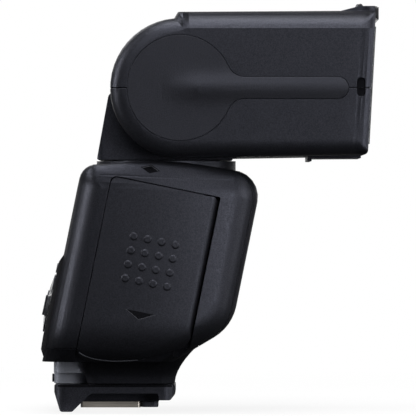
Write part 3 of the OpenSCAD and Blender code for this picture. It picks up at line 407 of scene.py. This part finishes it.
def smooth_by_angle(limit):
    """Modifier tree that smooths edges flatter than the limit and keeps the others sharp."""
    tree = bpy.data.node_groups.new("smooth_by_angle", "GeometryNodeTree")
    for way in ("INPUT", "OUTPUT"):
        tree.interface.new_socket("Geometry", in_out=way, socket_type="NodeSocketGeometry")
    start = tree.nodes.new("NodeGroupInput")
    end = tree.nodes.new("NodeGroupOutput")
    faces = tree.nodes.new("GeometryNodeSetShadeSmooth")
    edges = tree.nodes.new("GeometryNodeSetShadeSmooth")
    edges.domain = "EDGE"
    angle = tree.nodes.new("GeometryNodeInputMeshEdgeAngle")
    flat = tree.nodes.new("FunctionNodeCompare")
    flat.operation = "LESS_THAN"
    flat.inputs["B"].default_value = limit
    tree.links.new(start.outputs[0], faces.inputs["Geometry"])
    tree.links.new(faces.outputs[0], edges.inputs["Geometry"])
    tree.links.new(angle.outputs["Unsigned Angle"], flat.inputs["A"])
    tree.links.new(flat.outputs["Result"], edges.inputs["Shade Smooth"])
    tree.links.new(edges.outputs[0], end.inputs[0])
    return tree


SMOOTH = smooth_by_angle(math.radians(33))


def without_folds(side):
    """Modifier tree that drops faces on the flat sides that look inwards, where the mesh folds."""
    tree = bpy.data.node_groups.new("without_folds", "GeometryNodeTree")
    for way in ("INPUT", "OUTPUT"):
        tree.interface.new_socket("Geometry", in_out=way, socket_type="NodeSocketGeometry")
    start = tree.nodes.new("NodeGroupInput")
    end = tree.nodes.new("NodeGroupOutput")
    drop = tree.nodes.new("GeometryNodeDeleteGeometry")
    drop.domain = "FACE"
    product = tree.nodes.new("ShaderNodeMath")
    product.operation = "MULTIPLY"
    for i, kind in enumerate(("GeometryNodeInputPosition", "GeometryNodeInputNormal")):
        split = tree.nodes.new("ShaderNodeSeparateXYZ")
        tree.links.new(tree.nodes.new(kind).outputs[0], split.inputs[0])
        tree.links.new(split.outputs["X"], product.inputs[i])
    inward = tree.nodes.new("FunctionNodeCompare")
    inward.operation = "LESS_THAN"
    inward.inputs["B"].default_value = -0.99 * side
    tree.links.new(product.outputs[0], inward.inputs["A"])
    tree.links.new(inward.outputs["Result"], drop.inputs["Selection"])
    tree.links.new(start.outputs[0], drop.inputs["Geometry"])
    tree.links.new(drop.outputs[0], end.inputs[0])
    return tree


def smooth(obj):
    """Welds the imported faces together, then smooths them with the large faces kept flat."""
    if "custom_normal" in obj.data.attributes:
        obj.data.attributes.remove(obj.data.attributes["custom_normal"])
    weld = obj.modifiers.new("weld", "WELD")
    weld.merge_threshold = 0.002 * MM
    obj.modifiers.new("smooth", "NODES").node_group = SMOOTH
    even = obj.modifiers.new("even", "WEIGHTED_NORMAL")
    even.keep_sharp = True
    even.weight = 80


unfold = nodes["head_upper_shell"].modifiers.new("unfold", "NODES")
unfold.node_group = without_folds(HEAD_SIDE)
for kind, names in worn_by.items():
    for name in names.split():
        nodes[name].data.materials.clear()
        nodes[name].data.materials.append(finish[kind])
        smooth(nodes[name])


# Small pieces made here: signs, sheets and strips of painted shade and painted highlight, trim,
# prints and screws


def piece(name, mesh, kind, body):
    obj = bpy.data.objects.new(name, mesh)
    scene.collection.objects.link(obj)
    mesh.materials.append(finish[kind])
    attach(obj, body)
    return obj


def finished(bm, name, turn=True):
    """Mesh of the built faces, turned outwards."""
    if turn:
        bmesh.ops.recalc_face_normals(bm, faces=bm.faces[:])
    mesh = bpy.data.meshes.new(name)
    bm.to_mesh(mesh)
    bm.free()
    return mesh


def bridge(bm, rows, closed=True):
    """Faces between neighbouring rows of points, which run round or end."""
    for low, high in zip(rows, rows[1:]):
        count = len(low)
        for i in range(count if closed else count - 1):
            j = (i + 1) % count
            bm.faces.new((low[i], low[j], high[j], high[i]))


def sheet(outline, place, thick, name):
    """Thin plate over a closed outline; place(a, b, h) is a point h above the surface."""
    bm = bmesh.new()
    top = [bm.verts.new(place(a, b, thick)) for a, b in outline]
    foot = [bm.verts.new(place(a, b, -thick)) for a, b in outline]
    bm.faces.new(top)
    bm.faces.new(foot[::-1])
    bridge(bm, [foot, top])
    return finished(bm, name)


def rounded(corners, radius, steps=5):
    """Closed outline with its corners rounded."""
    out = []
    count = len(corners)
    for i in range(count):
        q = Vector(corners[i])
        p = (Vector(corners[i - 1]) - q).normalized()
        s = (Vector(corners[(i + 1) % count]) - q).normalized()
        reach = radius / math.tan(p.angle(s) / 2)
        start, end = q + p * reach, q + s * reach
        for k in range(steps + 1):
            t = k / steps
            out.append(tuple((1 - t) ** 2 * start + 2 * t * (1 - t) * q + t ** 2 * end))
    return out


def box(a0, b0, a1, b1):
    return [(a0, b0), (a1, b0), (a1, b1), (a0, b1)]


def around(a, b, radius, degrees):
    """Points at the given angles of a circle."""
    turns = [math.radians(d) for d in degrees]
    return [(a + radius * math.cos(t), b + radius * math.sin(t)) for t in turns]


def circle(a, b, radius, steps=24):
    return around(a, b, radius, [360 * i / steps for i in range(steps)])


# Pointer on the battery door, pointing the way it slides: a near-black sheet that paints the shade
# of its recess, with a painted highlight along its lower edge
POINTER = [(-3.6 * MM, 17.5 * MM), (1.0 * MM, 15.0 * MM), (5.8 * MM, 17.5 * MM)]
POINTER_HIGHLIGHT = [(-4.1 * MM, 17.5 * MM), (1.0 * MM, 14.7 * MM), (6.3 * MM, 17.5 * MM)]


def on_door(u, v, h):
    return leaned(BODY_SIDE - h, u, v)


recess_shade = sheet(rounded(POINTER, 0.15 * MM), on_door, 0.04 * MM, "door_pointer")
piece("door_pointer", recess_shade, "recess_shade", "battery_door")
# Painted highlight along the pointer's lower edges
rim = sheet(POINTER_HIGHLIGHT + POINTER[::-1], on_door, 0.03 * MM, "door_pointer_highlight")
piece("door_pointer_highlight", rim, "key", "battery_door")

# Caps of the raised dots on the battery door, rounded at the rim and a little dished:
# radius and height in mm
DOT_PITCH = 4.75 * MM
DOT_U, DOT_V = -6.15 * MM, 27.55 * MM
DOT_ROWS = 4
DOT_PROFILE = ((1.42, -0.02), (1.36, 0.07), (1.22, 0.23), (1.06, 0.35),
               (0.9, 0.4), (0.6, 0.38), (0.3, 0.37), (0.02, 0.37))


def dots_mesh(name):
    bm = bmesh.new()
    for i in range(DOT_ROWS):
        for j in range(DOT_ROWS):
            u, v = DOT_U + i * DOT_PITCH, DOT_V + j * DOT_PITCH
            rows = [[bm.verts.new(on_door(a, b, h * MM)) for a, b in circle(u, v, r * MM)]
                    for r, h in DOT_PROFILE]
            bridge(bm, rows)
            bm.faces.new(rows[-1])
    mesh = finished(bm, name)
    mesh.shade_smooth()
    return mesh


piece("door_dots", dots_mesh("door_dots"), "door", "battery_door")

# Low dome of the body's top: both shoulders beside the swivel collar rise towards the middle
SWIVEL_F, RECESS_R = 15.9 * MM, 24.05 * MM
SHELL_TOP_Z, SHELL_FALL = 81.4 * MM, math.tan(math.radians(2.5))
SHELL_CROWN = 8 * MM
DOME_F, DOME_HALF = 16.3 * MM, 22.3 * MM
DOME_RISE, DOME_DEPTH, DOME_FULLNESS = 1.9 * MM, 3.8 * MM, 1.25
DOME_SKIN, DOME_ROOT = 0.03 * MM, -0.1 * MM


def dome_line(f, steps=12, flat_steps=4):
    """Section of the dome across the body, from the shoulder in to the collar's recess."""
    top = SHELL_TOP_Z - SHELL_FALL * (f - SWIVEL_F)
    rise = DOME_RISE * max(0, 1 - ((f - DOME_F) / DOME_HALF) ** 2) ** DOME_FULLNESS
    start = math.acos(1 - DOME_DEPTH / SHELL_CROWN)
    line = []
    for k in range(steps + 1):
        angle = start * (1 - k / steps)
        skin = DOME_SKIN if k else DOME_ROOT
        drop = SHELL_CROWN * (1 - math.cos(angle))
        lift = rise * (1 - drop / DOME_DEPTH) ** 2
        x = BODY_SIDE + SHELL_CROWN - (SHELL_CROWN + skin) * math.sin(angle)
        line.append((x, top - drop + lift + skin * math.cos(angle)))
    rim = -math.sqrt(RECESS_R ** 2 - (f - SWIVEL_F) ** 2)
    x, z = line[-1]
    line += [(x + (rim - x) * k / flat_steps, z) for k in range(1, flat_steps + 1)]
    return line + [(rim, top - DOME_RISE)]


def dome_mesh(name, stations=48):
    bm = bmesh.new()
    for side in (1, -1):
        rows = []
        for i in range(stations + 1):
            f = DOME_F + DOME_HALF * (2 * i / stations - 1)
            rows.append([bm.verts.new((side * x, -f, z)) for x, z in dome_line(f)])
        bridge(bm, rows[::-side], closed=False)
    mesh = finished(bm, name, turn=False)
    mesh.shade_smooth()
    return mesh


dome = piece("shoulder_dome", dome_mesh("shoulder_dome"), "body", "base")


def seen_on(obj):
    """Placing function for points (f, z) of a surface as the photograph sees it."""
    points = [obj.matrix_world @ v.co for v in obj.data.vertices]
    faces = BVHTree.FromPolygons(points, [f.vertices for f in obj.data.polygons])

    def place(f, z, h):
        hit = faces.ray_cast(Vector((-1, -f, z)), Vector((1, 0, 0)))[0]
        hit = hit or faces.find_nearest(Vector((BODY_SIDE, -f, z)))[0]
        return hit - Vector((h, 0, 0))

    return place


def ribbon_mesh(line, width, place, thick, name):
    """Narrow raised band along an open line."""
    bm = bmesh.new()
    rows = []
    for i, point in enumerate(line):
        along = line[min(i + 1, len(line) - 1)] - line[max(i - 1, 0)]
        out = Vector((-along.y, along.x)).normalized() * width / 2
        low, high = point - out, point + out
        corners = ((low, -thick), (low, thick), (high, thick), (high, -thick))
        rows.append([bm.verts.new(place(*p, h)) for p, h in corners])
    bridge(bm, rows, closed=False)
    return finished(bm, name)


def curve_through(points, steps):
    """Smooth open line through points given in mm."""
    p = [Vector(q) * MM for q in points]
    p = [2 * p[0] - p[1], *p, 2 * p[-1] - p[-2]]
    line = []
    for a, b, c, d in zip(p, p[1:], p[2:], p[3:]):
        for t in (k / steps for k in range(steps)):
            bend = (2 * a - 5 * b + 4 * c - d) * t + (3 * b - a - 3 * c + d) * t * t
            line.append(b + (c - a + bend) * t / 2)
    return [*line, p[-2]]


# Painted highlight along the lower edge of the battery door
FOOT_LINE = ((-13.0, 19.4), (-10.7, 18.1), (-7.4, 17.1), (-2.7, 16.5),
             (1.8, 16.5), (6.9, 16.8), (9.0, 17.2))
edge = ribbon_mesh(curve_through(FOOT_LINE, 6), 0.3 * MM, seen_on(nodes["battery_door"]),
                   0.05 * MM, "door_foot_highlight")
piece("door_foot_highlight", edge, "key", "battery_door")

# Painted shade of the seal's gap along the top of the foot: a near-black band
SEAL_LINE = ((-20.6, 7.55), (18.6, 7.55))
gap = ribbon_mesh(curve_through(SEAL_LINE, 48), 0.75 * MM, seen_on(nodes["foot_block"]),
                  0.06 * MM, "foot_seal_gap_shade")
piece("foot_seal_gap_shade", gap, "recess_shade", "base")

# Index mark of the swivel, laid on the near shoulder: its groove and middle are painted shade, and
# its rim is a painted highlight
on_dome = seen_on(dome)
MARK_F, MARK_Z = 10.9 * MM, 80.7 * MM
MARK_U, MARK_V = 3.3 * MM, 1.5 * MM
MARK_RIM, MARK_DROP = 0.87, 0.15 * MM


def dense(outline, step=0.2 * MM):
    """Outline with close points, so that it can follow a curved surface."""
    out = []
    for i, start in enumerate(outline):
        p, q = Vector(start), Vector(outline[(i + 1) % len(outline)])
        count = max(1, math.ceil((q - p).length / step))
        out += [tuple(p.lerp(q, k / count)) for k in range(count)]
    return out


def ring_mesh(lines, place, thick, name):
    """Band over outlines of equally many points, with walls down into the surface."""
    bm = bmesh.new()
    heights = [-thick] + [thick] * len(lines) + [-thick]
    rows = [[bm.verts.new(place(a, b, h)) for a, b in line]
            for line, h in zip([lines[0], *lines, lines[-1]], heights)]
    bridge(bm, rows)
    return finished(bm, name)


def on_mark(u, v, h):
    """Point of the shoulder about the mark's middle, in the body's lean."""
    f = MARK_F + u * math.cos(LEAN) + v * math.sin(LEAN)
    return on_dome(f, MARK_Z - u * math.sin(LEAN) + v * math.cos(LEAN), h)


MARK_LINE = dense(rounded([(-MARK_U, 0), (0, -MARK_V), (MARK_U, 0), (0, MARK_V)], 0.1 * MM, 3))


def mark_line(factor):
    """The mark's outline made smaller; inside the rim it also moves down from the lit top."""
    drop = MARK_DROP if factor < MARK_RIM else 0
    return [(a * factor, b * factor - drop) for a, b in MARK_LINE]


# The groove and middle are near-black painted shade; the rim is a painted highlight
MARK_RINGS = {
    "swivel_mark_groove_shade": ("recess_shade", (1.0, MARK_RIM)),
    "swivel_mark_lit_rim": ("key", (MARK_RIM, 0.77)),
    "swivel_mark": ("recess_shade", (0.77, 0.55, 0.35, 0.15, 0.02)),
}
for name, (kind, factors) in MARK_RINGS.items():
    ring = ring_mesh([mark_line(k) for k in factors], on_mark, 0.05 * MM, name)
    piece(name, ring, kind, "base")


def at_tilt(x, a, b):
    """Point of the head: x across, a in front of the tilt axis and b above it."""
    return Vector((x, TILT_Y - a, TILT_Z + b))


# Near-black sheets of painted shade: the bottoms of the latch slots, and gaskets that close the
# head's seam (x and a in mm)
SLOT = rounded(box(59.1 * MM, -2.75 * MM, 61.7 * MM, 3.3 * MM), 1.1 * MM)
SLOT_X = 36.1 * MM
GASKET = ((33.4, 50), (36.9, 50), (36.9, 60.5), (35.9, 62.2), (34.5, 63.4), (33.4, 63.4))
for side, s in (("left", -1), ("right", 1)):
    name = f"latch_slot_shade_{side}"
    bottom = sheet(SLOT, lambda a, b, h: at_tilt(s * (SLOT_X + h), a, b), 0.05 * MM, name)
    piece(name, bottom, "recess_shade", "head")
    name = f"seam_shade_gasket_{side}"
    strip = sheet([(s * x * MM, a * MM) for x, a in GASKET], at_tilt, 0.14 * MM, name)
    piece(name, strip, "recess_shade", "head")

# Black grip on the pulled end of the wide panel, with its round nub (tab's a and b in mm)
GRIP_A = 66.27 * MM
NUB_A, NUB_B, NUB_R = 61.2 * MM, 28.5 * MM, 0.8 * MM
TAB = ((66.0, 27.7), (66.0, 27.4), (66.79, 27.4), (66.79, 28.46), (62.2, 28.46))
flange = rounded(box(-23.1 * MM, 23.3 * MM, 23.1 * MM, 27.55 * MM), 0.8 * MM)
grip = sheet(flange, lambda x, b, h: at_tilt(x, GRIP_A + h, b), 0.52 * MM, "panel_grip")
piece("panel_grip", grip, "panel", "wide_panel")
tab = around(NUB_A, NUB_B, NUB_R, range(0, 280, 20)) + [(a * MM, b * MM) for a, b in TAB]
pull = sheet(tab, lambda a, b, h: at_tilt(h, a, b), 6.1 * MM, "panel_tab")
piece("panel_tab", pull, "panel", "wide_panel")

# Felt ring that closes the gap over the swivel collar
FELT_Z, FELT_R = 83.75 * MM, 18.5 * MM
felt = sheet(circle(0, SWIVEL_F, FELT_R, 64), lambda x, f, h: Vector((x, -f, FELT_Z + h)),
             0.19 * MM, "swivel_felt")
piece("swivel_felt", felt, "rubber", "neck")

# Plain marks on the rear panel's keys and beside its power switch
KEY_TOP = 0.5 * MM
SIDE_KEY_X, SIDE_KEY_S = 18.5 * MM, 7.4 * MM
SOFT_KEY_PITCH, SOFT_KEY_S = 12 * MM, 12.6 * MM
SWITCH_S, SWITCH_R = -0.5 * MM, 6.8 * MM


def bar(x, s, w, h):
    return rounded(box(x - w / 2, s - h / 2, x + w / 2, s + h / 2), min(w, h) * 0.3, 3)


def pod_print(name, outlines, height, body):
    for i, outline in enumerate(outlines):
        mark = f"{name}_{i + 1}"
        mesh = sheet(outline, lambda x, s, h: on_pod(x, s, height + h), 0.03 * MM, mark)
        piece(mark, mesh, "print", body)


for i in range(4):
    dot = circle((i - 1.5) * SOFT_KEY_PITCH, SOFT_KEY_S, 0.45 * MM)
    pod_print(f"soft_key_mark_{i + 1}", [dot], KEY_TOP, f"soft_key_{i + 1}")
menu = [bar(-SIDE_KEY_X, SIDE_KEY_S + k * 0.9 * MM, 3.4 * MM, 0.35 * MM) for k in (-1, 0, 1)]
pod_print("menu_mark", menu, KEY_TOP, "menu_key")
mode = [bar(SIDE_KEY_X + k * 0.7 * MM, SIDE_KEY_S, 0.4 * MM, (2.2 - abs(k) * 0.42) * MM)
        for k in (-2, -1, 0, 1, 2)]
pod_print("mode_mark", mode, KEY_TOP, "mode_key")
switch = [bar(x, s, 0.5 * MM, 0.9 * MM)
          for x, s in around(-SIDE_KEY_X, SWITCH_S, SWITCH_R, (-130, -90, -50))]
pod_print("switch_mark", switch, 0, "base")

# Countersunk screws that look down out of the shoe plate: shares of the radius out and up
SCREW_R = 1.3 * MM
SCREW_X, SCREW_REAR, SCREW_FRONT = 6.4 * MM, 10.6 * MM, -4.6 * MM
SCREW_RINGS = ((1.0, 0.0), (0.92, -0.06), (0.5, -0.1))
SCREW_SINK = 0.25


def screw(name, centre, radius, body):
    bm = bmesh.new()
    rows = [[bm.verts.new(centre + Vector((x, y, radius * d))) for x, y in circle(0, 0, radius * k)]
            for k, d in SCREW_RINGS]
    bridge(bm, rows)
    hub = bm.verts.new(centre + Vector((0, 0, radius * SCREW_SINK)))
    for i, corner in enumerate(rows[-1]):
        bm.faces.new((corner, rows[-1][(i + 1) % len(rows[-1])], hub))
    bm.faces.new(rows[0][::-1])
    piece(name, finished(bm, name), "steel", body)


for i in range(4):
    place = Vector((SCREW_X * (-1, 1)[i % 2], (SCREW_FRONT, SCREW_REAR)[i // 2], 0.02 * MM))
    screw(f"shoe_screw_{i + 1}", place, SCREW_R, "base")


# Floor, light and camera

FLOOR_SIZE, FLOOR_DROP = 1.5, 0.2 * MM
FADE_REACH, FADE_WHITE = (0.12, 0.4), (0.86, 1.0)
NEAR_FLOOR = (0.004, 0.012)
BACKDROP_REACH = (0.75, 0.98)


def white_rays(tree, path, share):
    """1 for camera rays and rays through glass, and a share of 1 for reflected rays."""
    mirrored = tree.nodes.new("ShaderNodeMath")
    mirrored.operation = "MULTIPLY"
    through = tree.nodes.new("ShaderNodeMath")
    shown = tree.nodes.new("ShaderNodeMath")
    through.operation = shown.operation = "MAXIMUM"
    tree.links.new(share, mirrored.inputs[0])
    tree.links.new(path.outputs["Is Glossy Ray"], mirrored.inputs[1])
    tree.links.new(path.outputs["Is Camera Ray"], through.inputs[0])
    tree.links.new(path.outputs["Is Transmission Ray"], through.inputs[1])
    tree.links.new(through.outputs["Value"], shown.inputs[0])
    tree.links.new(mirrored.outputs["Value"], shown.inputs[1])
    return shown.outputs["Value"]


def add_floor():
    """Floor that is white where it is seen, but for the shadow, and throws little light up."""
    bpy.ops.mesh.primitive_grid_add(x_subdivisions=8, y_subdivisions=8, size=FLOOR_SIZE,
                                    location=(0, 0, cad_box[0].z - FLOOR_DROP))
    floor = bpy.context.active_object
    floor.name = "floor"
    material = bpy.data.materials.new("floor_white")
    material.use_nodes = True
    tree = material.node_tree
    dim = tree.nodes["Principled BSDF"]
    dim.inputs["Base Color"].default_value = (0.03, 0.03, 0.03, 1)
    dim.inputs["Roughness"].default_value = 0.9
    pale = tree.nodes.new("ShaderNodeBsdfDiffuse")
    pale.inputs["Color"].default_value = (0.9, 0.9, 0.9, 1)
    glow = tree.nodes.new("ShaderNodeEmission")
    span = tree.nodes.new("ShaderNodeVectorMath")
    span.operation = "LENGTH"
    fade = tree.nodes.new("ShaderNodeMapRange")
    set_range(fade, *FADE_REACH, *FADE_WHITE)
    path = tree.nodes.new("ShaderNodeLightPath")
    close = tree.nodes.new("ShaderNodeMapRange")
    set_range(close, *NEAR_FLOOR, 1, 0)
    seen = tree.nodes.new("ShaderNodeMixShader")
    by_ray = tree.nodes.new("ShaderNodeMixShader")
    place = tree.nodes.new("ShaderNodeTexCoord").outputs["Object"]
    tree.links.new(place, span.inputs[0])
    tree.links.new(span.outputs["Value"], fade.inputs["Value"])
    tree.links.new(fade.outputs["Result"], seen.inputs["Fac"])
    tree.links.new(pale.outputs["BSDF"], seen.inputs[1])
    tree.links.new(glow.outputs["Emission"], seen.inputs[2])
    tree.links.new(path.outputs["Ray Length"], close.inputs["Value"])
    tree.links.new(white_rays(tree, path, close.outputs["Result"]), by_ray.inputs["Fac"])
    tree.links.new(dim.outputs["BSDF"], by_ray.inputs[1])
    tree.links.new(seen.outputs["Shader"], by_ray.inputs[2])
    tree.links.new(by_ray.outputs["Shader"], tree.nodes["Material Output"].inputs["Surface"])
    floor.data.materials.append(material)


def add_world():
    """White where the camera, glass or a reflection sees the backdrop, and a dim room elsewhere."""
    world = bpy.data.worlds.new("studio")
    world.use_nodes = True
    scene.world = world
    tree = world.node_tree
    backdrop = tree.nodes["Background"]
    backdrop.inputs["Color"].default_value = (1, 1, 1, 1)
    room = tree.nodes.new("ShaderNodeBackground")
    room.inputs["Color"].default_value = (0.025, 0.026, 0.029, 1)
    path = tree.nodes.new("ShaderNodeLightPath")
    split = tree.nodes.new("ShaderNodeSeparateXYZ")
    behind = tree.nodes.new("ShaderNodeMapRange")
    set_range(behind, *BACKDROP_REACH, 0, 1)
    mix = tree.nodes.new("ShaderNodeMixShader")
    direction = tree.nodes.new("ShaderNodeTexCoord").outputs["Generated"]
    tree.links.new(direction, split.inputs["Vector"])
    tree.links.new(split.outputs["X"], behind.inputs["Value"])
    tree.links.new(white_rays(tree, path, behind.outputs["Result"]), mix.inputs["Fac"])
    tree.links.new(room.outputs["Background"], mix.inputs[1])
    tree.links.new(backdrop.outputs["Background"], mix.inputs[2])
    tree.links.new(mix.outputs["Shader"], tree.nodes["World Output"].inputs["Surface"])


def add_light(name, place, target, width, height, power):
    lamp = bpy.data.lights.new(name, "AREA")
    lamp.shape = "RECTANGLE"
    lamp.size, lamp.size_y = width, height
    lamp.energy = power
    obj = bpy.data.objects.new(name, lamp)
    obj.location = place
    obj.rotation_euler = (Vector(target) - Vector(place)).to_track_quat("-Z", "Y").to_euler()
    scene.collection.objects.link(obj)


add_floor()
add_world()
middle = (0, -0.03, 0.07)
add_light("top_box", (-0.15, -0.05, 0.85), middle, 0.7, 0.7, 7.1)
add_light("near_top_box", (-0.55, -0.03, 0.73), middle, 0.5, 0.5, 1.1)
add_light("near_fill", (-0.75, 0.1, 0.5), middle, 0.4, 0.4, 1.2)
add_light("front_strip", (-0.1, -0.9, 0.35), middle, 0.3, 0.8, 2.8)
add_light("front_low", (-0.3, -0.85, 0.2), middle, 0.4, 0.5, 0.8)
add_light("near_front", (-0.7, -0.45, 0.12), middle, 0.3, 0.3, 2.2)
add_light("back_strip", (-0.1, 0.8, 0.3), middle, 0.25, 0.6, 3.5)
add_light("far_box", (0.9, 0.5, 0.7), middle, 0.6, 0.6, 2.0)


def add_camera():
    data = bpy.data.cameras.new("photo_camera")
    distance = CAMERA_AWAY
    data.sensor_width = 36
    data.lens = 36 * distance / (PHOTO_PX * PX)
    data.clip_start, data.clip_end = 0.01, 50
    cam = bpy.data.objects.new("photo_camera", data)
    centre_f = (PHOTO_PX / 2 - ORIGIN_PX[0]) * PX
    centre_z = (ORIGIN_PX[1] - PHOTO_PX / 2) * PX
    cam.location = (NEAR_SIDE - distance, -centre_f, centre_z)
    cam.rotation_euler = Vector((1, 0, 0)).to_track_quat("-Z", "Y").to_euler()
    scene.collection.objects.link(cam)
    scene.camera = cam


add_camera()
scene.view_settings.view_transform = "Standard"
